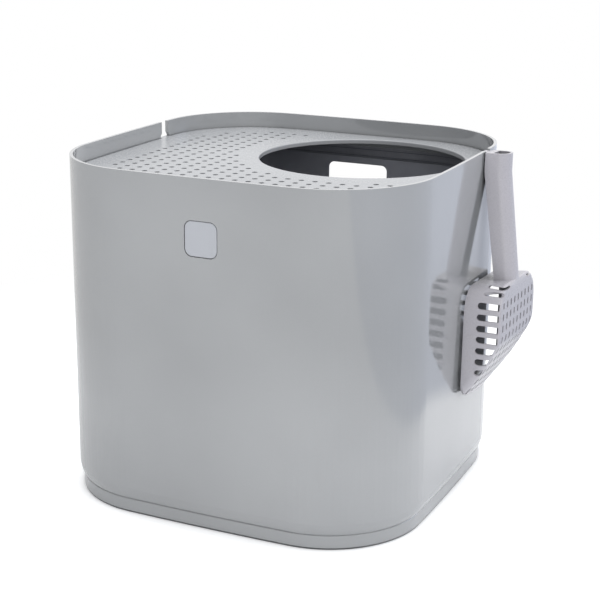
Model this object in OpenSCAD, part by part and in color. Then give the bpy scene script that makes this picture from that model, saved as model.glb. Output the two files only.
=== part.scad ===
// Top entry litter box: a square tub with a perforated swivel lid sunk in its rim,
// a removable waterproof liner and a slotted scoop that hangs on the outside.
// Millimetres, +Z up, the front (badge side) faces -Y and the scoop hangs on +X.

/* [Tub] */
// Width and depth of the tub across the middle of its sides
body_w = 406; // [380:1:440]
// Height of the rim above the floor
body_h = 372.5; // [350:0.5:400]
// Radius of the four upright corners
corner_r = 111; // [95:1:125]
// Radius of the slight outward bow of each side
side_r = 3630; // [3000:10:5000]
// Thickness of the tub's walls
wall_t = 3.5; // [3.2:0.1:4.5]
// Thickness of the tub's floor
floor_t = 4; // [3.5:0.5:6]
// Height of the band around the foot of the tub
base_h = 17; // [12:1:25]
// How far the band stands back from the walls
base_inset = 1.6; // [1:0.1:2.5]

/* [Feet] */
// Diameter of a rubber foot
foot_d = 24; // [18:1:30]
// Height of the gap that the feet hold under the tub
foot_gap = 2; // [1.5:0.1:3]
// Depth of the pocket that a foot sits in
foot_pocket = 1.2; // [0.8:0.1:1.5]
// Distance of each foot from the tub's middle planes
foot_off = 128; // [110:1:135]

/* [Lid] */
// Depth of the lid's top face below the rim
lid_drop = 18.4; // [17:0.1:24]
// Thickness of the lid's panel
lid_t = 3; // [2.5:0.1:3.4]
// Gap between the lid's edge and the tub's wall
lid_gap = 2.5; // [2.2:0.1:3]
// Depth of the skirt under the lid's edge, from its top face
skirt_h = 8; // [6:0.5:9]
// Thickness of the skirt
skirt_t = 2.4; // [2:0.1:3]
// Width of the shelf that carries the front of the lid
shelf_w = 8; // [6:0.5:10]
// Thickness of the shelf
shelf_t = 3; // [2.5:0.5:4]

/* [Entry hole] */
// Diameter of the entry hole
entry_d = 229; // [210:1:232]
// Distance of the hole's centre from the middle, to the right and to the rear
entry_off = 61; // [52:1:62]
// Depth of the turned-down lip, from the lid's top face
entry_lip_h = 5; // [4:0.5:8]
// Thickness of the turned-down lip
entry_lip_t = 2.6; // [2.4:0.1:3.4]
// Radius of the lip's rounded top edge
entry_lip_r = 1.6; // [1:0.1:2]

/* [Perforation] */
// Diameter of one perforation
vent_d = 6; // [4:0.5:7]
// Distance between perforations, along and across
vent_pitch = 15.3; // [13:0.1:18]
// Plain border between the lid's edge and the outermost perforations
vent_border = 33; // [30:1:40]
// Plain ring around the entry hole
vent_ring = 34; // [28:1:40]
// How far the plain ring's centre stands off the hole's, towards the corner
vent_ring_shift = 9; // [0:1:12]

/* [Swivel] */
// Distance of the swivel axis behind the middle
pivot_y = 74; // [66:1:80]
// Diameter of the round ends of the lid's pivot ears
ear_d = 20.4; // [18:0.2:21]
// Thickness of an ear between its flats
ear_t = 6.5; // [5:0.1:7]
// Running gap around an ear in its keyhole
ear_gap = 0.35; // [0.3:0.05:0.5]
// Width of the keyhole's neck, up to the rim
neck_w = 13.5; // [13.5:0.1:14.5]

/* [Rear grip] */
// Width of the grip opening in the rear wall
grip_w = 80; // [70:1:100]
// Height of the grip opening
grip_h = 42; // [35:1:50]
// Depth of the middle of the grip opening below the rim
grip_drop = 73.5; // [67:0.5:92]
// Corner radius of the grip opening
grip_r = 9; // [6:1:14]

/* [Badge] */
// Width and height of the plain badge plate
badge_w = 36.4; // [30:0.2:45]
// Corner radius of the plate
badge_r = 8; // [5:0.5:10]
// Thickness of the plate
badge_t = 1.5; // [1.2:0.1:1.6]
// Depth of the badge's middle below the rim
badge_drop = 61; // [50:0.5:80]
// Depth of the pocket that the plate sits in
badge_pocket = 2; // [1.9:0.1:2.2]
// Gap around the plate
badge_gap = 0.3; // [0.2:0.05:0.5]

/* [Liner] */
// Thickness of the liner's coated cloth
liner_t = 0.9; // [0.7:0.1:1]
// Gap between the liner and the tub
liner_gap = 0.3; // [0.3:0.05:0.4]
// Gap between the liner's top edge and the underside of the shelf
liner_shelf_gap = 3; // [3:0.5:20]
// How far the liner's grip hole stays inside the tub's grip opening
liner_grip_inset = 2; // [1:0.5:4]

/* [Scoop] */
// Width of the scoop's bowl across its open rim
scoop_w = 129; // [115:1:140]
// Width of the bowl's flat base
scoop_base_w = 128.6; // [110:0.2:129]
// Depth of the bowl from its rim to its base
scoop_d = 40.5; // [38:0.5:50]
// Thickness of the scoop's walls
scoop_t = 2.4; // [2:0.1:3]
// Length of the bowl from its tip to its shoulder, along the rim
scoop_bowl_l = 125; // [115:1:140]
// Length of the whole scoop from its tip to the end of its handle
scoop_l = 264; // [250:1:290]
// How far the sloping nose runs out for each millimetre up
nose_slope = 0.565; // [0.45:0.005:0.7]
// How far the nose bulges out below its straight line, halfway up
nose_bulge = 4; // [1:0.5:6]
// Angle that the scoop hangs out of plumb on its hook
scoop_tilt = 2.9; // [0:0.1:3]
// Angle that the scoop hangs away from the tub's wall
scoop_lean = 0.65; // [0:0.05:1]
// Gap between the hook's end of the scoop and the tub's wall
scoop_wall_gap = 1.5; // [1:0.1:3]
// Width of the handle
handle_w = 30; // [26:0.5:34]
// Depth of the handle at the hook
handle_d = 25.5; // [22:0.5:28]
// Depth of the handle where it leaves the bowl
handle_root_d = 23; // [20:0.5:26]
// How far the handle's back stands in from the bowl's base at its root
handle_set_in = 1; // [1:0.5:5]
// Wall thickness of the hollow handle
handle_t = 2.8; // [2.2:0.1:3.2]
// Radius of the rounded back of the handle
handle_r = 12; // [9:0.5:14]
// Height of the hook block at the handle's end
hook_h = 20; // [16:1:24]
// Thickness of the hook block's plate against the tub
hook_plate = 7.5; // [5:0.5:9]
// Width of the hook's tongue over the tub's wall
hook_w = 16; // [12:0.5:17]
// Gap between the hook block and the tub's outer face
hook_stand = 1.5; // [0.5:0.1:2]
// Thickness of the tongue
hook_tongue = 4.2; // [3:0.1:5]
// Height of the thin lip behind the tub's wall
lip_h = 8; // [6:0.5:8.5]
// Thickness of that lip
lip_t = 0.9; // [0.8:0.1:1]
// Gap between the hook and the faces of the tub's wall
hook_gap = 0.4; // [0.3:0.05:0.5]
// Rise of the bowl's shoulder from its rim to its base
shoulder_rise = 4; // [2:0.5:8]
// Corner radius of the shoulder
shoulder_r = 26; // [18:1:30]
// Corner radius of the tip, at the rim
tip_r = 16; // [12:1:32]
// Corner radius where the nose meets the base
heel_r = 8; // [6:0.5:12]
// How far the middle of the tip reaches past its corners
bow_low = 4; // [0:0.5:8]
// Rounding between the bowl's sides and its base
fillet = 4; // [3.5:0.5:6]
// Extra rounding between the shoulder and the base
shoulder_fillet = 6; // [2:0.5:7]
// Number of rows of slots across the base and the nose
slot_rows = 9; // [7:1:9]
// Pitch of the rows of slots along the scoop
slot_row = 12.34; // [11:0.02:13]
// Length of the small slots in the base
slot_l = 8; // [5:0.5:9]
// Width of the small slots in the base
slot_w = 4.4; // [2.5:0.1:5]
// Pitch of the small slots across the base
slot_pitch = 13.33; // [12:0.01:14]
// Height of the long slots in the sides
side_slot_h = 7; // [5:0.5:8.5]
// How far the side slots stay inside the nose's outer face
side_slot_rim = 2; // [1.5:0.1:4]

/* [Hidden] */

$fn = 64;
eps = 0.01;           // overlap of two shapes that are joined
cut = 1;              // how far a cutter passes the face that it leaves

grey = "#a6aaae";
lid_grey = "#c3c8cc";
scoop_grey = "#aeb1b8";
badge_grey = "#b5bac0";
liner_grey = "#3b3d43";
rubber_grey = "#4a4c50";

half = body_w / 2;
// How far the hung scoop's base stands out from the tub
reach = scoop_wall_gap
    + max([for (p = bowl_ring(scoop_d, fillet / 2, shoulder_fillet))
        p[0] * cos(scoop_lean)
        + (p[1] * sin(scoop_tilt) + (scoop_l - p[2]) * cos(scoop_tilt)) * sin(scoop_lean)]);
// The row's origin is under the middle of the whole, scoop included
shift_x = -reach / 2;

lid_top = body_h - lid_drop;
shelf_top = lid_top - skirt_h;
liner_top = shelf_top - shelf_t - liner_shelf_gap;
pivot_z = lid_top - ear_t / 2;
seat_r = ear_d / 2 + ear_gap;
cavity_z = foot_gap + floor_t;

step_w = hook_w + 1.5;                     // step in the rim that the hook's tongue lies in
step_h = hook_tongue + 2.4;
hang_z = body_h - 1.5;                     // top of the hung scoop
scoop_y = pivot_y + 0.4;                   // the hook rests to one side of its step
lean = scoop_d - handle_set_in - handle_root_d;  // how far the handle's root stands off the rim
slot_top = scoop_bowl_l - 1.4 * slot_row;  // height of the first row of slots
slot_reach = 5;                            // half length of a cutter through the base
side_slot_x = 14.2;                        // depth at which the side slots begin
side_slot_y = scoop_base_w / 2 - 12;       // they are cut from here outwards

// Where the tub's outer face stands at depth y
function wall_x(y) = half - side_r + sqrt(side_r * side_r - y * y);

// Depth in the scoop's frame of the hook block's face against the tub
hook_x = wall_x(pivot_y - handle_w / 2) + hook_stand - half - scoop_wall_gap;

module in_row() { translate([shift_x, 0, 0]) children(); }

// ---- plan outline: a square with bowed sides and round corners ----

// Where the corner arc's centre lies, on the diagonal, for sides that stand at h
// from the middle with bow radius rs and corner radius rc
function corner_c(h, rc, rs) =
    let (d = rs - h, s = rs - rc)
    (sqrt(2 * s * s - d * d) - d) / 2;

// Angle from the bow's centre at which the bow meets the corner arc
function bow_a(h, rc, rs) =
    let (c = corner_c(h, rc, rs)) atan(c / (c + rs - h));

// Points of the outline that lies d inside the tub's outer face
function outline(d = 0, corner_n = 24, bow_n = 10) =
    let (h = half - d, rc = corner_r - d, rs = side_r - d,
         c = corner_c(h, rc, rs), a = bow_a(h, rc, rs))
    [for (q = [0:3])
        each concat(
            [for (i = [0:bow_n - 1]) let (t = -a + 2 * a * i / bow_n)
                turn([h - rs + rs * cos(t), rs * sin(t)], q)],
            [for (i = [0:corner_n - 1]) let (t = a + (90 - 2 * a) * i / corner_n)
                turn([c + rc * cos(t), c + rc * sin(t)], q)])];

function turn(p, q) =
    q == 0 ? p : turn([-p[1], p[0]], q - 1);

module slab(d, z0, z1) {
    translate([0, 0, z0])
        linear_extrude(height = z1 - z0)
            polygon(outline(d));
}

// Wall between two outlines, d0 outside and d1 inside
module ring(d0, d1, z0, z1) {
    translate([0, 0, z0])
        linear_extrude(height = z1 - z0)
            difference() {
                polygon(outline(d0));
                polygon(outline(d1));
            }
}

// A rectangle with round corners, centred
module round_rect(w, h, r) {
    union() {
        square([w - 2 * r, h], center = true);
        square([w, h - 2 * r], center = true);
        for (x = [-1, 1], y = [-1, 1])
            translate([x * (w / 2 - r), y * (h / 2 - r)]) circle(r = r);
    }
}

// The same shape as a bar that runs along Y, centred on the given height
module bar_y(w, h, r, y0, y1, z) {
    translate([0, y1, z])
        rotate([90, 0, 0])
            linear_extrude(height = y1 - y0)
                round_rect(w, h, r);
}

// ---- tub ----

module keyholes() {
    wide = 2 * (wall_t + 2 * cut);
    for (side = [-1, 1]) {
        translate([side * half, pivot_y, pivot_z])
            rotate([0, 90, 0])
                cylinder(r = seat_r, h = wide, center = true);
        translate([side * half - wide / 2, pivot_y - neck_w / 2, pivot_z])
            cube([wide, neck_w, body_h - pivot_z + cut]);
    }
    translate([half - wide / 2, pivot_y - step_w / 2, body_h - step_h])
        cube([wide, step_w, step_h + cut]);
}

// Shelf along the front and the sides, as far back as the lid's front part reaches
module shelf() {
    back = pivot_y - seat_r - 2 * shelf_w;
    intersection() {
        ring(wall_t - eps, wall_t + shelf_w, shelf_top - shelf_t, shelf_top);
        translate([-half, -half, shelf_top - shelf_t - cut])
            cube([body_w, half + back, shelf_t + 2 * cut]);
    }
}

module foot_pockets(gap) {
    for (x = [-1, 1], y = [-1, 1])
        translate([x * foot_off, y * foot_off, foot_gap - cut])
            cylinder(d = foot_d + 2 * gap, h = foot_pocket + cut);
}

module housing() {
    color(grey)
    in_row() {
        difference() {
            union() {
                ring(0, wall_t, base_h, body_h);
                ring(base_inset, wall_t + base_inset, foot_gap, base_h + wall_t);
                slab(base_inset + eps, foot_gap, cavity_z);
                shelf();
            }
            keyholes();
            foot_pockets(0.3);
            bar_y(grip_w, grip_h, grip_r, half - 2 * wall_t, half + cut, body_h - grip_drop);
            bar_y(badge_w + 2 * badge_gap, badge_w + 2 * badge_gap, badge_r + badge_gap,
                  -half - cut, -half + badge_pocket, body_h - badge_drop);
        }
    }
}

module front_badge() {
    color(badge_grey)
    in_row()
        bar_y(badge_w, badge_w, badge_r,
              badge_pocket - badge_t - half, badge_pocket - half, body_h - badge_drop);
}

module foot(x, y) {
    color(rubber_grey)
    in_row()
        translate([x * foot_off, y * foot_off, 0])
            cylinder(d = foot_d, h = foot_gap + foot_pocket);
}

module foot_front_left() { foot(-1, -1); }
module foot_front_right() { foot(1, -1); }
module foot_rear_left() { foot(-1, 1); }
module foot_rear_right() { foot(1, 1); }

// ---- liner ----

module liner() {
    out = wall_t + base_inset + liner_gap;
    up = wall_t + liner_gap;
    knee = base_h + wall_t + liner_gap;
    color(liner_grey)
    in_row()
        difference() {
            union() {
                ring(out, out + liner_t, cavity_z + liner_gap, knee + liner_t);
                ring(up, out + liner_t, knee, knee + liner_t);
                ring(up, up + liner_t, knee, liner_top);
                slab(out + eps, cavity_z + liner_gap, cavity_z + liner_gap + liner_t);
            }
            bar_y(grip_w - 2 * liner_grip_inset, grip_h - 2 * liner_grip_inset,
                  grip_r - liner_grip_inset, half - 3 * wall_t, half + cut, body_h - grip_drop);
        }
}

// ---- lid ----

// True where a perforation fits the round-cornered field and clears the entry hole
function vent_ok(x, y) =
    let (h = half - wall_t - lid_gap - vent_border,
         r = corner_r - vent_border + vent_d / 2,
         c = h - r,
         o = entry_off + vent_ring_shift,
         dx = max(abs(x) - c, 0), dy = max(abs(y) - c, 0))
    max(abs(x), abs(y)) <= h && norm([dx, dy]) <= r
        && norm([x - o, y - o]) >= entry_d / 2 + vent_ring;

module vents() {
    n = floor(half / vent_pitch);
    for (i = [-n:n - 1], j = [-n:n - 1])
        let (x = (i + 0.5) * vent_pitch, y = (j + 0.5) * vent_pitch)
            if (vent_ok(x, y)) translate([x, y]) circle(d = vent_d);
}

// Half section of the lip, as a strip with its top inner edge rounded
module lip_section() {
    r0 = entry_d / 2;
    difference() {
        translate([r0, lid_top - entry_lip_h]) square([entry_lip_t, entry_lip_h]);
        difference() {
            translate([r0 - cut, lid_top - entry_lip_r]) square([cut + entry_lip_r, entry_lip_r + cut]);
            translate([r0 + entry_lip_r, lid_top - entry_lip_r]) circle(r = entry_lip_r);
        }
    }
}

// Round-ended ear with two flats, from under the lid's edge out into the keyhole
module ear(side) {
    in_x = half - wall_t - lid_gap - skirt_t - 6;
    out_x = half - 0.6;
    intersection() {
        translate([side * in_x, pivot_y, pivot_z])
            rotate([0, side * 90, 0]) cylinder(d = ear_d, h = out_x - in_x);
        translate([-body_w, pivot_y - ear_d, pivot_z - ear_t / 2])
            cube([2 * body_w, 2 * ear_d, ear_t]);
    }
}

module lid() {
    edge = wall_t + lid_gap;
    color(lid_grey)
    in_row()
        union() {
            translate([0, 0, lid_top - lid_t])
                linear_extrude(height = lid_t)
                    difference() {
                        polygon(outline(edge));
                        translate([entry_off, entry_off]) circle(r = entry_d / 2 + entry_lip_t / 2, $fn = 128);
                        vents();
                    }
            ring(edge, edge + skirt_t, shelf_top, lid_top - eps);
            translate([entry_off, entry_off, 0])
                rotate_extrude($fn = 128) lip_section();
            ear(-1);
            ear(1);
        }
}

// ---- scoop ----
// Drawn in its own frame: x away from the tub's wall, y across, z up from the tip

// Points of an arc about c, from angle a0 to a1, both ends included
function arc(c, r, a0, a1, n) =
    [for (i = [0:n]) let (a = a0 + (a1 - a0) * i / n) [c[0] + r * cos(a), c[1] + r * sin(a)]];

// Closed line of the bowl's wall at one depth, its low edge bowed down in the middle
function bowl_line(w, top, low, r_top, r_low, bow) =
    concat(
        arc([w - r_low, low + r_low + bow], r_low, -80, 0, 6),
        arc([w - r_top, top - r_top], r_top, 0, 90, 6),
        arc([r_top - w, top - r_top], r_top, 90, 180, 6),
        arc([r_low - w, low + r_low + bow], r_low, 180, 260, 6),
        [for (s = [-0.5, 0, 0.5]) [s * (w - r_low), low + bow * s * s]]);

// Bowl's outer line at depth x, drawn in by i on every side and lowered by drop at the shoulder
function bowl_ring(x, i = 0, drop = 0) =
    let (f = x / scoop_d,
         w = (scoop_w + (scoop_base_w - scoop_w) * f) / 2 - i,
         top = scoop_bowl_l + shoulder_rise * f - i - drop,
         low = nose_z(x) + i / sin(atan(nose_slope)),
         r_low = tip_r + (heel_r - tip_r) * f)
    [for (p = bowl_line(w, top, low, shoulder_r - i, r_low - i, bow_low * (1 - f))) [x, p[0], p[1]]];

// Height of the sloping nose's outer face at depth x
function nose_z(x) =
    let (u = min(1, max(0, x - scoop_t) / (scoop_d - scoop_t)))
    u * (scoop_d - scoop_t) / nose_slope - nose_bulge * sin(180 * u);

// Closed line of the handle's D at one height: flat towards the tub, round away from it
function handle_ring(z, x0, x1, w, r) =
    [for (p = concat([[x0, w], [x0, -w]],
                     [for (i = [0:18]) let (a = 10 * i - 90) [x1 - r + r * cos(a), w * sin(a)]]))
        [p[0], p[1], z]];

// Skin through rings of equally many points, closed at both ends
module loft(rings) {
    n = len(rings[0]);
    m = len(rings);
    polyhedron(points = [for (r = rings) each r],
        faces = concat(
            [[for (i = [0:n - 1]) i]],
            [for (k = [0:m - 2], i = [0:n - 1]) each
                let (a = k * n + i, b = k * n + (i + 1) % n)
                [[a, a + n, b], [b, a + n, b + n]]],
            [[for (i = [n - 1:-1:0]) (m - 1) * n + i]]));
}

// Depths of the rings along the bowl's sides, down to where the rounding begins
function bowl_depths(end) =
    [0, for (i = [0:4]) scoop_t + (end - scoop_t) * i / 4];

module bowl_outside() {
    loft(concat(
        [for (x = bowl_depths(scoop_d - fillet)) bowl_ring(x)],
        [for (a = [30, 60, 90]) let (q = 1 - cos(a))
            bowl_ring(scoop_d - fillet + fillet * sin(a), fillet * q / 2, shoulder_fillet * q)]));
}

module bowl_inside() {
    deep = scoop_d - scoop_t;
    in_fillet = fillet - scoop_t;
    loft(concat(
        [[for (p = bowl_ring(0, scoop_t)) [-cut, p[1], p[2]]]],
        [for (x = bowl_depths(deep - in_fillet)) bowl_ring(x, scoop_t)],
        [bowl_ring(deep, scoop_t + in_fillet / 2, shoulder_fillet)]));
}

// The handle leans in from the bowl's base to the tub's wall, then runs upright
function handle_lean(z) = max(0, (scoop_l - hook_h - z) / (scoop_l - hook_h - scoop_bowl_l));

// Its face towards the tub and its back, at height z
function handle_x(z) = hook_x + (lean - hook_x) * handle_lean(z);
function handle_back(z) = handle_x(z) + handle_d + (handle_root_d - handle_d) * handle_lean(z);

module handle_outside() {
    foot_z = scoop_bowl_l - shoulder_fillet;
    block = scoop_l - hook_h;
    stations = [[foot_z, 1.2], [foot_z + 6, 1.08], [foot_z + 14, 1],
                [block - 12, 1], [block, 1], [scoop_l, 1]];
    loft([for (s = stations)
        handle_ring(s[0], handle_x(s[0]), handle_back(s[0]), s[1] * handle_w / 2, handle_r)]);
}

// Hollow of the handle, open towards the tub up to the hook block and then closed
module handle_inside() {
    low = scoop_bowl_l + shoulder_rise + 6;
    block = scoop_l - hook_h;
    w = handle_w / 2 - handle_t;
    loft([for (s = [[low, 0.55], [low + 5, 1], [block - 12, 1], [block, 1]])
        handle_ring(s[0], handle_x(s[0]) - cut, handle_back(s[0]) - handle_t,
                    w * s[1], handle_r - handle_t)]);
    loft([for (z = [block - cut, scoop_l + cut])
        handle_ring(z, hook_x + hook_plate, hook_x + handle_d - handle_t, w, handle_r - handle_t)]);
}

// Tongue over the step in the tub's rim, with a thin lip down the wall's inner face
module hook() {
    lip_x = wall_x(pivot_y + hook_w / 2 + 1) - wall_t - hook_gap - half - scoop_wall_gap;
    translate([lip_x - lip_t, -hook_w / 2, scoop_l - hook_tongue])
        cube([hook_plate - lip_x, hook_w, hook_tongue]);
    translate([lip_x - lip_t, -hook_w / 2, scoop_l - lip_h])
        cube([lip_t, hook_w, lip_h]);
    translate([hook_x, -handle_w / 2, scoop_l - hook_h])
        cube([hook_plate, handle_w, hook_h]);
}

// Small upright slot through the base or the nose, at height z
module base_slot(x, y, z) {
    hull()
        for (s = [-1, 1])
            translate([x - slot_reach, y, z + s * (slot_l - slot_w) / 2])
                rotate([0, 90, 0]) cylinder(d = slot_w, h = 2 * slot_reach, $fn = 16);
}

// Row of long slots through each side, ended short of the base and the nose
module side_slots() {
    r = side_slot_h / 2;
    rim = side_slot_rim / cos(atan(nose_slope));
    end = scoop_d - side_slot_rim / 2;
    deep = scoop_d - scoop_t;
    for (side = [-1, 1])
        translate([0, side * (side_slot_y + scoop_w / 2), 0])
            rotate([90, 0, 0])
                linear_extrude(height = scoop_w, center = true)
                    intersection() {
                        for (k = [0:slot_rows - 3])
                            translate([side_slot_x, slot_top - k * slot_row]) {
                                translate([r, 0]) circle(r = r, $fn = 24);
                                translate([r, -r]) square([scoop_d, side_slot_h]);
                            }
                        polygon(concat(
                            [for (i = [0:6]) let (x = scoop_t + deep * i / 6) [min(end, x - rim), nose_z(x)]],
                            [[end, scoop_l], [0, scoop_l], [0, 0]]));
                    }
}

// Slot that starts at depth x0 in a side and wraps round onto the base as far as y0
module wrap_slot(x0, y0, z, h) {
    r = h / 2;
    for (side = [-1, 1])
        hull() {
            translate([x0 + r, side * (y0 + r), z])
                rotate([-side * 90, 0, 0]) cylinder(r = r, h = scoop_w, $fn = 16);
            translate([scoop_d - fillet, side * (y0 + r), z])
                rotate([0, 90, 0]) cylinder(r = r, h = scoop_d, $fn = 16);
            translate([scoop_d - fillet, side * scoop_w, z])
                rotate([0, 90, 0]) cylinder(r = r, h = scoop_d, $fn = 16);
        }
}

module scoop_slots() {
    deep = scoop_d - scoop_t - eps;
    for (k = [0:slot_rows - 1]) {
        z = slot_top - k * slot_row;
        x = min(scoop_d, z * nose_slope + scoop_t) - scoop_t / 2;
        span = bowl_ring(min(x, deep))[0][1] + slot_w;
        columns = floor(min(span, scoop_base_w / 2 - fillet) / slot_pitch);
        for (i = [-columns:columns]) base_slot(x, i * slot_pitch, z);
    }
    side_slots();
    wrap_slot(side_slot_x + 4, scoop_base_w / 2 - 12, slot_top + slot_row, side_slot_h - 2.5);
    wrap_slot(side_slot_x + 6, scoop_base_w / 2 - 33, slot_top + 1.42 * slot_row, side_slot_h - 4.3);
}

module scoop_solid() {
    difference() {
        union() {
            bowl_outside();
            handle_outside();
            hook();
        }
        bowl_inside();
        handle_inside();
        scoop_slots();
    }
}

module scoop() {
    color(scoop_grey)
    in_row()
        translate([half + scoop_wall_gap, scoop_y, hang_z])
            rotate([-scoop_tilt, -scoop_lean, 0])
                translate([0, 0, -scoop_l])
                    scoop_solid();
}

housing();
front_badge();
liner();
foot_front_left();
foot_front_right();
foot_rear_left();
foot_rear_right();
lid();
scoop();
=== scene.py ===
import math

import bpy
from mathutils import Matrix, Vector, noise


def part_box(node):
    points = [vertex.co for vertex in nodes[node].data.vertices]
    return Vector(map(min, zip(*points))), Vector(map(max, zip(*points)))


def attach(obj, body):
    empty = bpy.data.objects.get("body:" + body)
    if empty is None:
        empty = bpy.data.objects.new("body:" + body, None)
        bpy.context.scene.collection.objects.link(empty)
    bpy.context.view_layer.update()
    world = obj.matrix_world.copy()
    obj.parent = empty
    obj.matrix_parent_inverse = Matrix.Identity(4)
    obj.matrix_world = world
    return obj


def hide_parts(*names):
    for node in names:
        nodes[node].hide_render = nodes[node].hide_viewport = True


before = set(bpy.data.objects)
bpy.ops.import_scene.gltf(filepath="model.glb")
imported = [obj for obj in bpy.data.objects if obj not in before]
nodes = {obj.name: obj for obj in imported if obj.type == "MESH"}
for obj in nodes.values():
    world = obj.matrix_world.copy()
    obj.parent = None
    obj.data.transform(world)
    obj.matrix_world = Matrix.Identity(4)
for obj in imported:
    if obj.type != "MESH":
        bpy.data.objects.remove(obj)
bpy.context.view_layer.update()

MM = 0.001

# ---- sizes that the scene shares with the part, in millimetres ----

HALF = 203.0            # half the tub's width, at the middle of a side
CORNER_R = 111.0
SIDE_R = 3630.0         # bow of each side
TUB_X = 1000 * sum(p[0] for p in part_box("housing")) / 2
LINER_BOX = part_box("liner")
LINER_LOW = 1000 * LINER_BOX[0][2]
LINER_TOP = 1000 * LINER_BOX[1][2]
LINER_D = 4.3           # middle of the liner's cloth, inside the tub's outer face
KNEE_Z = 21.0           # height of the tub's inner step, where the liner steps in too
GRIP = (80.0, 42.0, 299.0, 9.0)    # rear grip opening: width, height, middle, corner radius
GRIP_INSET = 2.0        # how far the cloth's own hole stays inside it
BAND_IN = 4.0           # how far the band round the foot stands inside the walls
GROOVE_IN = 4.9         # depth of the groove between the band and the wall
BAND_TOP = 15.0         # height where the band ends and the groove begins
LIP_Z = 17.2            # lower edge of the wall
CURVE_TOP = 30.0        # height where the wall's foot starts to curve in
AZIMUTH = math.radians(24.738)     # the camera's, from the front towards the right
TABLE_TURN = math.radians(29.1)    # the way that the white table's right-hand edge faces
TABLE_EDGE = 0.41       # how far out that edge lies, in metres


# ---- small helpers ----

def tone(code):
    """An sRGB hex colour as linear RGBA."""
    def lin(v):
        return v / 12.92 if v <= 0.04045 else ((v + 0.055) / 1.055) ** 2.4
    return tuple(lin(int(code[i:i + 2], 16) / 255) for i in (1, 3, 5)) + (1.0,)


def add(tree, kind, values=None, links=None, **settings):
    """A node with its settings, socket values and incoming links."""
    n = tree.nodes.new(kind)
    for key, value in settings.items():
        setattr(n, key, value)
    for key, value in (values or {}).items():
        n.inputs[key].default_value = value
    for key, source in (links or {}).items():
        tree.links.new(source, n.inputs[key])
    return n


def material(name):
    m = bpy.data.materials.new(name)
    m.use_nodes = True
    m.node_tree.nodes.clear()
    return m, m.node_tree


def finish_material(tree, surface):
    add(tree, "ShaderNodeOutputMaterial", links={"Surface": surface})


def ramp(tree, factor, stops):
    """A colour ramp from (position, hex) stops."""
    n = add(tree, "ShaderNodeValToRGB", links={"Fac": factor})
    e = n.color_ramp.elements
    while len(e) < len(stops):
        e.new(0.5)
    for point, (position, code) in zip(e, stops):
        point.position = position
        point.color = tone(code)
    return n.outputs["Color"]


# ---- materials ----

def moulded_plastic(name, shades, roughness, grain_mm, grain_depth_mm, edge_mm, flow_depth_mm=0.0,
                    hollow_mm=0.0, painted_shade_tone=0.4, hollow_open=0.55, skin=0.0, ior=1.50):
    """Injection-moulded plastic: a little tone drift from the melt, a fine mould grain and eased edges.
    With hollow_mm, deep hollows of that size are drawn darker: painted shade, from ambient occlusion.
    skin is the clear, mirror-smooth layer that a polished mould leaves."""
    m, t = material(name)
    place = add(t, "ShaderNodeTexCoord").outputs["Object"]
    drift = add(t, "ShaderNodeTexNoise", {"Scale": 1 / (160 * MM), "Detail": 2.0, "Roughness": 0.4},
                {"Vector": place}).outputs["Fac"]
    speck = add(t, "ShaderNodeTexNoise", {"Scale": 1 / (grain_mm * MM), "Detail": 1.0},
                {"Vector": place}).outputs["Fac"]
    both = add(t, "ShaderNodeMath", {1: 0.12}, {0: speck, 2: drift},
               operation="MULTIPLY_ADD").outputs["Value"]
    colour = ramp(t, both, [(0.36, shades[0]), (0.56, shades[1]), (0.76, shades[2])])
    if hollow_mm:
        # painted shade: ambient occlusion darkens the colour inside hollows
        open_air = add(t, "ShaderNodeAmbientOcclusion", {"Distance": hollow_mm * MM}, samples=8).outputs["AO"]
        shade = add(t, "ShaderNodeMapRange",
                    {"From Min": 0.1, "From Max": hollow_open, "To Min": painted_shade_tone},
                    {"Value": open_air}).outputs["Result"]
        colour = add(t, "ShaderNodeVectorMath", links={0: colour, "Scale": shade},
                     operation="SCALE").outputs["Vector"]
    rough = add(t, "ShaderNodeMapRange", {"From Min": 0.3, "From Max": 0.7, "To Min": roughness * 0.92,
                                          "To Max": roughness * 1.08}, {"Value": speck}).outputs["Result"]
    eased = add(t, "ShaderNodeBevel", {"Radius": edge_mm * MM}, samples=6).outputs["Normal"]
    grain = add(t, "ShaderNodeBump", {"Strength": 0.6, "Distance": grain_depth_mm * MM},
                {"Height": speck, "Normal": eased}).outputs["Normal"]
    if flow_depth_mm:
        swell = add(t, "ShaderNodeTexNoise", {"Scale": 1 / (70 * MM), "Detail": 0.0},
                    {"Vector": place}).outputs["Fac"]
        grain = add(t, "ShaderNodeBump", {"Strength": 1.0, "Distance": flow_depth_mm * MM},
                    {"Height": swell, "Normal": grain}).outputs["Normal"]
    surface = add(t, "ShaderNodeBsdfPrincipled",
                  {"IOR": ior, "Coat Weight": skin, "Coat Roughness": 0.03},
                  {"Base Color": colour, "Roughness": rough, "Normal": grain}).outputs["BSDF"]
    finish_material(t, surface)
    return m


# High-gloss moulded ABS: a polished mould leaves a mirror-smooth skin that shows the scoop and the rim. Narrow
# grooves and joints, such as under the wall's lip, get painted shade
gloss_abs = moulded_plastic("gloss_moulded_abs", ("#96989A", "#9B9D9F", "#A0A2A4"), 0.10,
                            grain_mm=1.2, grain_depth_mm=0.0006, edge_mm=0.9, flow_depth_mm=0.04,
                            hollow_mm=2.5, painted_shade_tone=0.6, skin=0.85, ior=1.53)
# Satin polypropylene lid: spark-eroded mould texture, drawn at 0.9 mm where the real grain is 0.2 mm. Its
# holes get painted shade
satin_pp_lid = moulded_plastic("satin_moulded_polypropylene_lid", ("#9D9FA2", "#A2A4A7", "#A7A9AC"), 0.26,
                               grain_mm=0.9, grain_depth_mm=0.02, edge_mm=0.5, hollow_mm=5, painted_shade_tone=0.1,
                               hollow_open=0.8)
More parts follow.
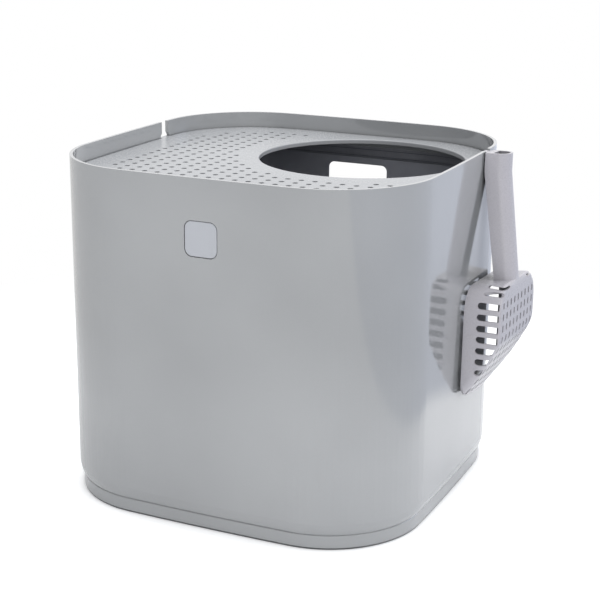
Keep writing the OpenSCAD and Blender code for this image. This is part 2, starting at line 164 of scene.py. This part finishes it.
# Satin polypropylene scoop, a shade warmer and lighter than the lid, with painted shade inside the bowl and
# behind its slots
satin_pp_scoop = moulded_plastic("satin_moulded_polypropylene_scoop", ("#B1AFB5", "#B6B4BA", "#BBB9BF"), 0.28,
                                 grain_mm=0.9, grain_depth_mm=0.015, edge_mm=0.6,
                                 hollow_mm=60, painted_shade_tone=0.12)
# Satin badge plate, bare
satin_badge = moulded_plastic("satin_badge_plate", ("#ACAFB5", "#B0B3B9", "#B4B7BD"), 0.32,
                              grain_mm=0.9, grain_depth_mm=0.012, edge_mm=0.4)


def foot_rubber():
    """Moulded rubber: dull and dark, with a dusty bloom."""
    m, t = material("moulded_rubber_foot")
    place = add(t, "ShaderNodeTexCoord").outputs["Object"]
    bloom = add(t, "ShaderNodeTexNoise", {"Scale": 1 / (4 * MM), "Detail": 4.0},
                {"Vector": place}).outputs["Fac"]
    colour = ramp(t, bloom, [(0.3, "#3C3E40"), (0.7, "#4B4D4F")])
    bumped = add(t, "ShaderNodeBump", {"Strength": 0.5, "Distance": 0.05 * MM},
                 {"Height": bloom}).outputs["Normal"]
    finish_material(t, add(t, "ShaderNodeBsdfPrincipled", {"Roughness": 0.75},
                           {"Base Color": colour, "Normal": bumped}).outputs["BSDF"])
    return m


def coated_cloth(name, dark, light, thread_mm, roughness):
    """Woven polyester with a waterproof coating: a tight plain weave, drawn at twice its real 0.6 mm thread
    spacing so that it shows, under a film that leaves a dull sheen."""
    m, t = material(name)
    place = add(t, "ShaderNodeTexCoord").outputs["UV"]
    per_thread = {"Scale": 1 / (thread_mm * MM * 6.2832) * 3.1416, "Distortion": 0.4}
    around = add(t, "ShaderNodeTexWave", per_thread, {"Vector": place}, bands_direction="X").outputs["Fac"]
    upright = add(t, "ShaderNodeTexWave", per_thread, {"Vector": place}, bands_direction="Y").outputs["Fac"]
    weave = add(t, "ShaderNodeMath", links={0: around, 1: upright}, operation="MULTIPLY").outputs["Value"]
    rub = add(t, "ShaderNodeTexNoise", {"Scale": 1 / (45 * MM), "Detail": 3.0},
              {"Vector": place}).outputs["Fac"]
    both = add(t, "ShaderNodeMath", {1: 0.35}, {0: weave, 2: rub}, operation="MULTIPLY_ADD").outputs["Value"]
    colour = ramp(t, both, [(0.35, dark), (0.95, light)])
    bumped = add(t, "ShaderNodeBump", {"Strength": 0.5, "Distance": 0.12 * MM},
                 {"Height": weave}).outputs["Normal"]
    finish_material(t, add(t, "ShaderNodeBsdfPrincipled",
                           {"Roughness": roughness, "Sheen Weight": 0.15, "Sheen Roughness": 0.5},
                           {"Base Color": colour, "Normal": bumped}).outputs["BSDF"])
    return m


liner_cloth = coated_cloth("waterproof_coated_polyester", "#8C8E96", "#9EA0A8", 1.2, 0.45)
hem_tape = coated_cloth("polyester_binding_tape", "#7A7C83", "#8A8C93", 1.6, 0.7)


def twisted_thread():
    """Polyester sewing thread: two plies, whose small glints are painted in as lighter bands."""
    m, t = material("polyester_thread")
    place = add(t, "ShaderNodeTexCoord").outputs["Object"]
    painted_glint = add(t, "ShaderNodeTexWave", {"Scale": 1 / (1.2 * MM), "Distortion": 1.0},
              {"Vector": place}).outputs["Fac"]
    # painted highlight: the lighter bands along the twist stand in for glints
    colour = ramp(t, painted_glint, [(0.2, "#3A3C43"), (0.8, "#50535B")])
    finish_material(t, add(t, "ShaderNodeBsdfPrincipled", {"Roughness": 0.6},
                           {"Base Color": colour}).outputs["BSDF"])
    return m


thread = twisted_thread()


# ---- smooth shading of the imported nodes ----

def smooth_by_angle(obj, limit_deg, shrink_mm=0.0, cutter=None):
    """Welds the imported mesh's split corners and shades it smooth up to an angle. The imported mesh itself
    stays as it is: modifiers draw a small plate in by shrink_mm, or take a cutter's form away."""
    g = bpy.data.node_groups.new("smooth_" + obj.name, "GeometryNodeTree")
    g.interface.new_socket("Geometry", in_out="INPUT", socket_type="NodeSocketGeometry")
    g.interface.new_socket("Geometry", in_out="OUTPUT", socket_type="NodeSocketGeometry")
    start = add(g, "NodeGroupInput")
    bare = add(g, "GeometryNodeRemoveAttribute", {"Name": "custom_normal"}, {"Geometry": start.outputs[0]})
    weld = add(g, "GeometryNodeMergeByDistance", {"Distance": 0.004 * MM}, {"Geometry": bare.outputs[0]})
    shape = weld.outputs[0]
    if shrink_mm:
        low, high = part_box(obj.name)
        by = [2 * shrink_mm * MM / (high[i] - low[i]) if i != 1 else 0.0 for i in range(3)]
        back_to_middle = [b * (p + q) / 2 for b, p, q in zip(by, low, high)]
        shape = add(g, "GeometryNodeTransform", {"Scale": [1 - b for b in by], "Translation": back_to_middle},
                    {"Geometry": shape}).outputs[0]
    if cutter:
        tool = add(g, "GeometryNodeObjectInfo", {"Object": cutter}).outputs["Geometry"]
        shape = add(g, "GeometryNodeMeshBoolean", links={"Mesh 1": shape, "Mesh 2": tool},
                    operation="DIFFERENCE", solver="EXACT").outputs[0]
    angle = add(g, "GeometryNodeInputMeshEdgeAngle")
    soft = add(g, "FunctionNodeCompare", {"B": math.radians(limit_deg)},
               {"A": angle.outputs["Unsigned Angle"]}, data_type="FLOAT", operation="LESS_THAN")
    faces = add(g, "GeometryNodeSetShadeSmooth", {"Shade Smooth": True}, {"Geometry": shape}, domain="FACE")
    edges = add(g, "GeometryNodeSetShadeSmooth", links={"Geometry": faces.outputs[0],
                                                        "Shade Smooth": soft.outputs[0]}, domain="EDGE")
    add(g, "NodeGroupOutput", links={0: edges.outputs[0]})
    obj.modifiers.new("smooth", "NODES").node_group = g
    if cutter:
        # the cut leaves long thin faces on the walls, and weighting by area keeps their gloss even
        obj.modifiers.new("even_walls", "WEIGHTED_NORMAL").keep_sharp = True


# ---- plan outline, as the part draws it ----

def outline(inset, corner_n=24, bow_n=16):
    """Points of the plan line that lies inset mm inside the tub's outer face, with their outward normals."""
    h, rc, rs = HALF - inset, CORNER_R - inset, SIDE_R - inset
    d, s = rs - h, rs - rc
    c = (math.sqrt(2 * s * s - d * d) - d) / 2
    a = math.atan2(c, c + rs - h)
    run = [(h - rs + rs * math.cos(t), rs * math.sin(t), t)
           for t in (-a + 2 * a * i / bow_n for i in range(bow_n))]
    run += [(c + rc * math.cos(t), c + rc * math.sin(t), t)
            for t in (a + (math.pi / 2 - 2 * a) * i / corner_n for i in range(corner_n))]
    points = []
    for q in range(4):
        for x, y, t in run:
            for _ in range(q):
                x, y = -y, x
            points.append((x, y, t + q * math.pi / 2))
    return points


def new_mesh(name, verts, faces, mats, smooth=True):
    """Mesh object from points in millimetres, measured from the tub's own middle."""
    me = bpy.data.meshes.new(name)
    me.from_pydata([((x + TUB_X) * MM, y * MM, z * MM) for x, y, z in verts], [], faces)
    me.validate()
    for m in mats:
        me.materials.append(m)
    if smooth:
        me.shade_smooth()
    obj = bpy.data.objects.new(name, me)
    bpy.context.scene.collection.objects.link(obj)
    return obj


def foot_cutter():
    """Ring that curves the foot of the wall in, and stands the band back under a narrow groove."""
    outside, steps = -3.0, 8
    line = [(outside, outside), (BAND_IN, outside), (BAND_IN, BAND_TOP), (GROOVE_IN, BAND_TOP + 0.9),
            (GROOVE_IN, LIP_Z - 0.3), (3.3, LIP_Z)]
    for i in range(1, steps + 1):
        f = 1 - i / steps
        line.append((1.2 * f + 2.1 * f ** 3, LIP_Z + (CURVE_TOP - LIP_Z) * i / steps))
    line += [(-0.6, CURVE_TOP + 6.5), (outside, CURVE_TOP + 6.5)]
    rings = [outline(inset, corner_n=40) for inset, _ in line]
    count, m = len(rings[0]), len(line)
    verts = [(rings[k][i][0], rings[k][i][1], line[k][1]) for i in range(count) for k in range(m)]
    faces = [(i * m + k, i * m + (k + 1) % m, (i + 1) % count * m + (k + 1) % m, (i + 1) % count * m + k)
             for i in range(count) for k in range(m)]
    obj = new_mesh("foot_cutter", verts, faces, [])
    obj.hide_render = True
    return obj


finishes = {"housing": gloss_abs, "lid": satin_pp_lid, "scoop": satin_pp_scoop, "front_badge": satin_badge}
rubber = foot_rubber()
for name, obj in nodes.items():
    obj.data.materials.clear()
    obj.data.materials.append(finishes.get(name, rubber))
    if name == "housing":
        smooth_by_angle(obj, 30, cutter=foot_cutter())
    elif name == "front_badge":
        smooth_by_angle(obj, 30, shrink_mm=0.5)
    elif name != "liner":
        smooth_by_angle(obj, 24 if name == "scoop" else 30)


def bake_modifiers(obj):
    """Makes what the object's modifiers give its own mesh."""
    bpy.context.view_layer.update()
    baked = bpy.data.meshes.new_from_object(obj.evaluated_get(bpy.context.evaluated_depsgraph_get()))
    obj.modifiers.clear()
    obj.data = baked


# ---- liner: a sewn cloth bag that lines the tub ----

def cloth_drift(x, y, z, size, seed):
    return noise.noise(Vector((x / size + seed, y / size - seed, z / size)))


def wrinkle(x, y, z):
    """How far the cloth stands in from the tub, in mm: taut at the hem, slack lower down."""
    slack = min(1.0, max(0.0, (LINER_TOP - 12 - z) / 110))
    low = min(1.0, max(0.0, (z - LINER_LOW) / 25))
    fold = cloth_drift(x, y, z * 0.35, 46, 3.1) + 0.5 * cloth_drift(x, y, z * 0.5, 19, 7.7)
    return slack * low * max(0.0, 0.7 + 2.3 * fold)


def grip_cutter():
    """Round-cornered bar that opens the cloth behind the tub's grip opening."""
    w, h, middle, r = GRIP
    w, h, r = w / 2 - GRIP_INSET, h / 2 - GRIP_INSET, r - GRIP_INSET
    line = []
    for q, (sx, sz) in enumerate(((1, 1), (-1, 1), (-1, -1), (1, -1))):
        for i in range(9):
            t = math.pi / 2 * (q + i / 8)
            line.append((sx * (w - r) + r * math.cos(t), sz * (h - r) + r * math.sin(t)))
    n = len(line)
    y0, y1 = HALF - 20, HALF + 10
    verts = [(x, y, middle + z) for y in (y0, y1) for x, z in line]
    faces = [tuple(range(n)), tuple(range(2 * n - 1, n - 1, -1))]
    faces += [(i, i + n, (i + 1) % n + n, (i + 1) % n) for i in range(n)]
    return new_mesh("grip_cutter", verts, faces, [], smooth=False)


def build_liner():
    """Walls as a loft of the plan line, a slack floor, and a hole behind the grip opening."""
    ring = outline(LINER_D, corner_n=48, bow_n=90)
    n = len(ring)
    heights = [LINER_LOW + 0.5, LINER_LOW + 3, LINER_LOW + 8, KNEE_Z, KNEE_Z + 1.5]
    z = KNEE_Z + 4
    while z < LINER_TOP - 0.1:
        heights.append(z)
        z += 5.0
    heights.append(LINER_TOP - 0.2)
    verts, uvs, faces = [], [], []
    around = 0.0
    for i, (x, y, t) in enumerate(ring):
        for z in heights:
            low = 1.6 if z < KNEE_Z + 1 else 0.0
            push = low + wrinkle(x, y, z) + (2.5 * ((LINER_LOW + 8 - z) / 8) ** 2 if z < LINER_LOW + 8 else 0)
            verts.append((x - push * math.cos(t), y - push * math.sin(t), z))
            uvs.append((around * MM, z * MM))
        nx, ny, _ = ring[(i + 1) % n]
        around += math.hypot(nx - x, ny - y)
    rows = len(heights)
    for i in range(n):
        for k in range(rows - 1):
            a, b = i * rows + k, ((i + 1) % n) * rows + k
            faces.append((a, b, b + 1, a + 1))
    # floor: rings drawn in to the middle, with shallow waves
    start = len(verts)
    steps = 26
    for s in range(1, steps):
        f = 1 - s / steps
        for i, (x, y, t) in enumerate(ring):
            ex, ey = verts[i * rows][0], verts[i * rows][1]
            px, py = ex * f, ey * f
            wave = 1.2 * max(0.0, cloth_drift(px, py, 0, 60, 1.3) + 0.3 * cloth_drift(px, py, 0, 22, 5.5))
            verts.append((px, py, LINER_LOW + 0.5 + wave * min(1.0, s / 4)))
            uvs.append((px * MM, py * MM))
    for s in range(steps - 1):
        for i in range(n):
            j = (i + 1) % n
            if s == 0:
                a, b = i * rows, j * rows
            else:
                a, b = start + (s - 1) * n + i, start + (s - 1) * n + j
            c, d = start + s * n + j, start + s * n + i
            faces.append((b, a, d, c))
    verts.append((0, 0, LINER_LOW + 0.6))
    uvs.append((0.0, 0.0))
    last = start + (steps - 2) * n
    for i in range(n):
        faces.append((last + (i + 1) % n, last + i, len(verts) - 1))
    obj = new_mesh("liner_bag", verts, faces, [liner_cloth])
    layer = obj.data.uv_layers.new(name="cloth")
    for loop in obj.data.loops:
        layer.data[loop.index].uv = uvs[loop.vertex_index]
    thick = obj.modifiers.new("cloth", "SOLIDIFY")
    thick.thickness = 0.7 * MM
    thick.offset = 0
    cutter = grip_cutter()
    hole = obj.modifiers.new("grip_hole", "BOOLEAN")
    hole.operation = "DIFFERENCE"
    hole.solver = "EXACT"
    hole.object = cutter
    bake_modifiers(obj)
    bpy.data.objects.remove(cutter)
    return obj


def tube_strip(name, path, profile, mat, closed=True):
    """Sweeps a small profile of (inward, up) points along a path of (x, y, z, normal angle)."""
    m = len(profile)
    verts = [(x - p * math.cos(t), y - p * math.sin(t), z + q) for x, y, z, t in path for p, q in profile]
    count = len(path)
    faces = []
    for i in range(count if closed else count - 1):
        for k in range(m):
            a, b = i * m + k, i * m + (k + 1) % m
            c, d = ((i + 1) % count) * m + (k + 1) % m, ((i + 1) % count) * m + k
            faces.append((a, b, c, d))
    obj = new_mesh(name, verts, faces, [mat])
    layer = obj.data.uv_layers.new(name="cloth")
    for loop in obj.data.loops:
        i, k = divmod(loop.vertex_index, m)
        layer.data[loop.index].uv = (i * 0.004, profile[k][1] * MM)
    return obj


# One stitch: along the hem, up and out from the tape
STITCH = ((-1.1, 0, 0.0), (-0.5, 0.28, 0.16), (0.5, 0.28, 0.16), (1.1, 0, 0.0),
          (0.5, -0.28, 0.16), (-0.5, -0.28, 0.16))


def build_hem():
    """Binding tape folded over the liner's top edge, with a line of stitches."""
    ring = outline(LINER_D, corner_n=48, bow_n=90)
    path = [(x, y, LINER_TOP, t) for x, y, t in ring]
    profile = [(-0.45, -14), (-0.5, -1.0), (-0.2, -0.1), (0.3, -0.1), (0.7, -1.0), (0.75, -7), (0.6, -14)]
    tape = tube_strip("liner_hem", path, profile, hem_tape)
    stitch_verts, stitch_faces = [], []
    for x, y, t in outline(LINER_D, corner_n=70, bow_n=100):
        tx, ty = -math.sin(t), math.cos(t)
        for row in (-3.5, -11.5):
            cx, cy = x - 0.78 * math.cos(t), y - 0.78 * math.sin(t)
            base = len(stitch_verts)
            for u, v, w in STITCH:
                stitch_verts.append((cx + tx * u - w * math.cos(t), cy + ty * u - w * math.sin(t),
                                     LINER_TOP + row + v))
            stitch_faces.append(tuple(base + i for i in range(6)))
    stitches = new_mesh("liner_hem_stitches", stitch_verts, stitch_faces, [thread], smooth=False)
    return tape, stitches


liner = build_liner()
hem, hem_stitches = build_hem()
for piece in (liner, hem, hem_stitches):
    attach(piece, "base")
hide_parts("liner")


# ---- floor, light and camera ----

def build_floor():
    """White table: plain white to the camera and in mirror images, with the object's shadow near its foot,
    partly cast by the lamps and partly painted shade from ambient occlusion.
    Everything but the camera also meets its right-hand edge, with the darker room beyond, and gloss surfaces
    see it dimmer on the left."""
    me = bpy.data.meshes.new("floor")
    s = 14.0
    me.from_pydata([(-s, -s, 0), (s, -s, 0), (s, s, 0), (-s, s, 0)], [], [(0, 1, 2, 3)])
    obj = bpy.data.objects.new("floor", me)
    bpy.context.scene.collection.objects.link(obj)
    m, t = material("pale_floor")
    paths = add(t, "ShaderNodeLightPath")
    seen = add(t, "ShaderNodeMath", links={0: paths.outputs["Is Camera Ray"],
                                           1: paths.outputs["Is Glossy Ray"]},
               operation="MAXIMUM").outputs["Value"]
    seen = add(t, "ShaderNodeMath", links={0: seen, 1: paths.outputs["Is Transmission Ray"]},
               operation="MAXIMUM").outputs["Value"]
    place = add(t, "ShaderNodeTexCoord").outputs["Object"]
    away = add(t, "ShaderNodeVectorMath", links={0: place}, operation="LENGTH").outputs["Value"]
    far = add(t, "ShaderNodeMapRange", {"From Min": 0.35, "From Max": 0.9, "To Min": 0.0, "To Max": 1.0},
              {"Value": away}, interpolation_type="SMOOTHSTEP").outputs["Result"]
    white = add(t, "ShaderNodeMath", links={0: seen, 1: far}, operation="MULTIPLY").outputs["Value"]
    # painted shadow: ambient occlusion darkens the floor's colour near the object's foot and holds back the
    # white lift there
    clear = add(t, "ShaderNodeAmbientOcclusion", {"Distance": 0.05}, samples=16).outputs["AO"]
    painted_shadow_floor = add(t, "ShaderNodeBsdfDiffuse", links={
        "Color": ramp(t, clear, [(0.1, "#A4A6AA"), (0.42, "#F4F5F6")])}).outputs["BSDF"]
    glow = add(t, "ShaderNodeEmission", {"Color": (1, 1, 1, 1), "Strength": 1.0}).outputs["Emission"]
    clear = add(t, "ShaderNodeMapRange", {"From Min": 0.22, "From Max": 0.68, "To Max": 0.42},
                {"Value": clear}).outputs["Result"]
    outward = add(t, "ShaderNodeVectorMath", links={0: place}, operation="NORMALIZE").outputs["Vector"]
    frontward = add(t, "ShaderNodeVectorMath", {1: (0.0, -1.0, 0)}, {0: outward}, operation="DOT_PRODUCT")
    front = add(t, "ShaderNodeMapRange", {"From Min": 0.8, "From Max": 1.1},
                {"Value": frontward.outputs["Value"]}, interpolation_type="SMOOTHSTEP").outputs["Result"]
    front = add(t, "ShaderNodeMath", links={0: front, 1: paths.outputs["Is Glossy Ray"]},
                operation="MULTIPLY").outputs["Value"]
    front = add(t, "ShaderNodeMath", links={0: front, 1: paths.outputs["Is Camera Ray"]},
                operation="ADD").outputs["Value"]
    raised = add(t, "ShaderNodeMath", links={0: front, 1: clear}, operation="MULTIPLY").outputs["Value"]
    lift = add(t, "ShaderNodeEmission", {"Color": (1, 1, 1, 1)}, {"Strength": raised}).outputs["Emission"]
    near = add(t, "ShaderNodeAddShader", links={0: painted_shadow_floor, 1: lift}).outputs["Shader"]
    table = add(t, "ShaderNodeMixShader", links={"Fac": white, 1: near, 2: glow}).outputs["Shader"]
    leftward = add(t, "ShaderNodeVectorMath", {1: (-0.87, 0.5, 0)}, {0: outward},
                   operation="DOT_PRODUCT").outputs["Value"]
    dusk = add(t, "ShaderNodeMapRange", {"From Min": 0.1, "From Max": 1.0, "To Min": 0.0, "To Max": 0.26},
               {"Value": leftward}, interpolation_type="SMOOTHSTEP").outputs["Result"]
    dusk = add(t, "ShaderNodeMath", links={0: dusk, 1: paths.outputs["Is Glossy Ray"]},
               operation="MULTIPLY").outputs["Value"]
    black = add(t, "ShaderNodeEmission", {"Color": (0, 0, 0, 1), "Strength": 0.0}).outputs["Emission"]
    table = add(t, "ShaderNodeMixShader", links={"Fac": dusk, 1: table, 2: black}).outputs["Shader"]
    across = add(t, "ShaderNodeVectorMath", {1: (math.cos(TABLE_TURN), math.sin(TABLE_TURN), 0)}, {0: place},
                 operation="DOT_PRODUCT").outputs["Value"]
    beyond = add(t, "ShaderNodeMapRange", {"From Min": TABLE_EDGE - 0.04, "From Max": TABLE_EDGE + 0.04},
                 {"Value": across}, interpolation_type="SMOOTHSTEP").outputs["Result"]
    unseen = add(t, "ShaderNodeMath", links={0: paths.outputs["Is Camera Ray"],
                                             1: paths.outputs["Is Transmission Ray"]}, operation="MAXIMUM")
    unseen = add(t, "ShaderNodeMath", {0: 1.0}, {1: unseen.outputs["Value"]},
                 operation="SUBTRACT").outputs["Value"]
    beyond = add(t, "ShaderNodeMath", links={0: beyond, 1: unseen}, operation="MULTIPLY").outputs["Value"]
    gloom = add(t, "ShaderNodeMapRange",
                {"From Min": TABLE_EDGE + 0.05, "From Max": TABLE_EDGE + 0.6, "To Min": 0.75, "To Max": 0.95},
                {"Value": across}).outputs["Result"]
    dimmed = add(t, "ShaderNodeMapRange", {"To Min": 0.5},
                 {"Value": paths.outputs["Is Glossy Ray"]}).outputs["Result"]
    gloom = add(t, "ShaderNodeMath", links={0: gloom, 1: dimmed}, operation="MULTIPLY").outputs["Value"]
    room = add(t, "ShaderNodeEmission", {"Color": tone("#EAF0FF")}, {"Strength": gloom}).outputs["Emission"]
    whole = add(t, "ShaderNodeMixShader", links={"Fac": beyond, 1: table, 2: room}).outputs["Shader"]
    finish_material(t, whole)
    me.materials.append(m)


STUDIO_BASE = 0.38      # brightness from everywhere
# What each side adds: the way it faces, the cosines at which it starts and is full, and its brightness
STUDIO_SIDES = (((0, 0, 1), 0.0, 1.0, 0.58),
                ((-0.1, 1, 0.15), 0.35, 0.95, 0.62),
                ((0.66, 0.75, 0.1), 0.3, 0.95, 0.20),
                ((0.82, -0.56, 0.12), 0.3, 0.95, 0.74))


def lobe(tree, direction, toward, start, end, strength):
    """Brightness that rises towards one side of the studio."""
    facing = add(tree, "ShaderNodeVectorMath", {1: Vector(toward).normalized()}, {0: direction},
                 operation="DOT_PRODUCT").outputs["Value"]
    return add(tree, "ShaderNodeMapRange", {"From Min": start, "From Max": end, "To Max": strength},
               {"Value": facing}, interpolation_type="SMOOTHSTEP").outputs["Result"]


def build_world():
    """Soft studio, brighter overhead, behind and on the right. The camera itself sees plain white."""
    w = bpy.data.worlds.new("studio")
    bpy.context.scene.world = w
    w.use_nodes = True
    t = w.node_tree
    t.nodes.clear()
    direction = add(t, "ShaderNodeTexCoord").outputs["Generated"]
    level = add(t, "ShaderNodeValue").outputs[0]
    level.default_value = STUDIO_BASE
    for toward, start, end, strength in STUDIO_SIDES:
        extra = lobe(t, direction, toward, start, end, strength)
        level = add(t, "ShaderNodeMath", links={0: level, 1: extra}, operation="ADD").outputs["Value"]
    paths = add(t, "ShaderNodeLightPath")
    seen = add(t, "ShaderNodeMath", links={0: paths.outputs["Is Camera Ray"],
                                           1: paths.outputs["Is Transmission Ray"]},
               operation="MAXIMUM").outputs["Value"]
    soft = add(t, "ShaderNodeBackground", {"Color": tone("#FAFAFB")},
               {"Strength": level}).outputs["Background"]
    white = add(t, "ShaderNodeBackground", {"Color": (1, 1, 1, 1), "Strength": 1.0}).outputs["Background"]
    mixed = add(t, "ShaderNodeMixShader", links={"Fac": seen, 1: soft, 2: white}).outputs["Shader"]
    add(t, "ShaderNodeOutputWorld", links={"Surface": mixed})


def softbox(name, place, size, power, aim=(0, 0, 0.2), tint="#FFFFFF"):
    data = bpy.data.lights.new(name, "AREA")
    data.shape = "RECTANGLE"
    data.size, data.size_y = size
    data.energy = power
    data.color = tone(tint)[:3]
    obj = bpy.data.objects.new(name, data)
    obj.location = place
    obj.rotation_euler = (Vector(aim) - Vector(place)).to_track_quat("-Z", "Y").to_euler()
    bpy.context.scene.collection.objects.link(obj)


def build_camera():
    """The photograph's view: solved from the tub's rim, lid, hole and base lines."""
    elevation, roll = math.radians(16.474), math.radians(0.527)
    distance = 1.5985
    target = Vector((TUB_X * MM + 0.01112, 0, 0.19771))
    back = Vector((math.sin(AZIMUTH) * math.cos(elevation), -math.cos(AZIMUTH) * math.cos(elevation),
                   math.sin(elevation)))
    right = back.cross(Vector((0, 0, 1))) * -1
    right.normalize()
    up = back.cross(right)
    side = right * math.cos(roll) + up * math.sin(roll)
    top = up * math.cos(roll) - right * math.sin(roll)
    data = bpy.data.cameras.new("camera")
    data.sensor_width = 36
    data.lens = 85.456
    data.shift_x = 0.00495
    data.shift_y = 0.00027
    obj = bpy.data.objects.new("camera", data)
    m = Matrix((side, top, back)).transposed().to_4x4()
    m.translation = target + back * distance
    obj.matrix_world = m
    bpy.context.scene.collection.objects.link(obj)
    bpy.context.scene.camera = obj


build_floor()
build_world()
softbox("overhead", (0.1, 0.5, 2.6), (2.2, 2.2), 26)
softbox("right_bank", (2.1, 2.0, 1.1), (1.2, 1.8), 8, tint="#CFE0FF")
softbox("front_bank", (0.9, -2.4, 0.5), (2.4, 0.7), 6, aim=(0, 0, 0.1))
build_camera()
bpy.context.scene.view_settings.view_transform = "Standard"
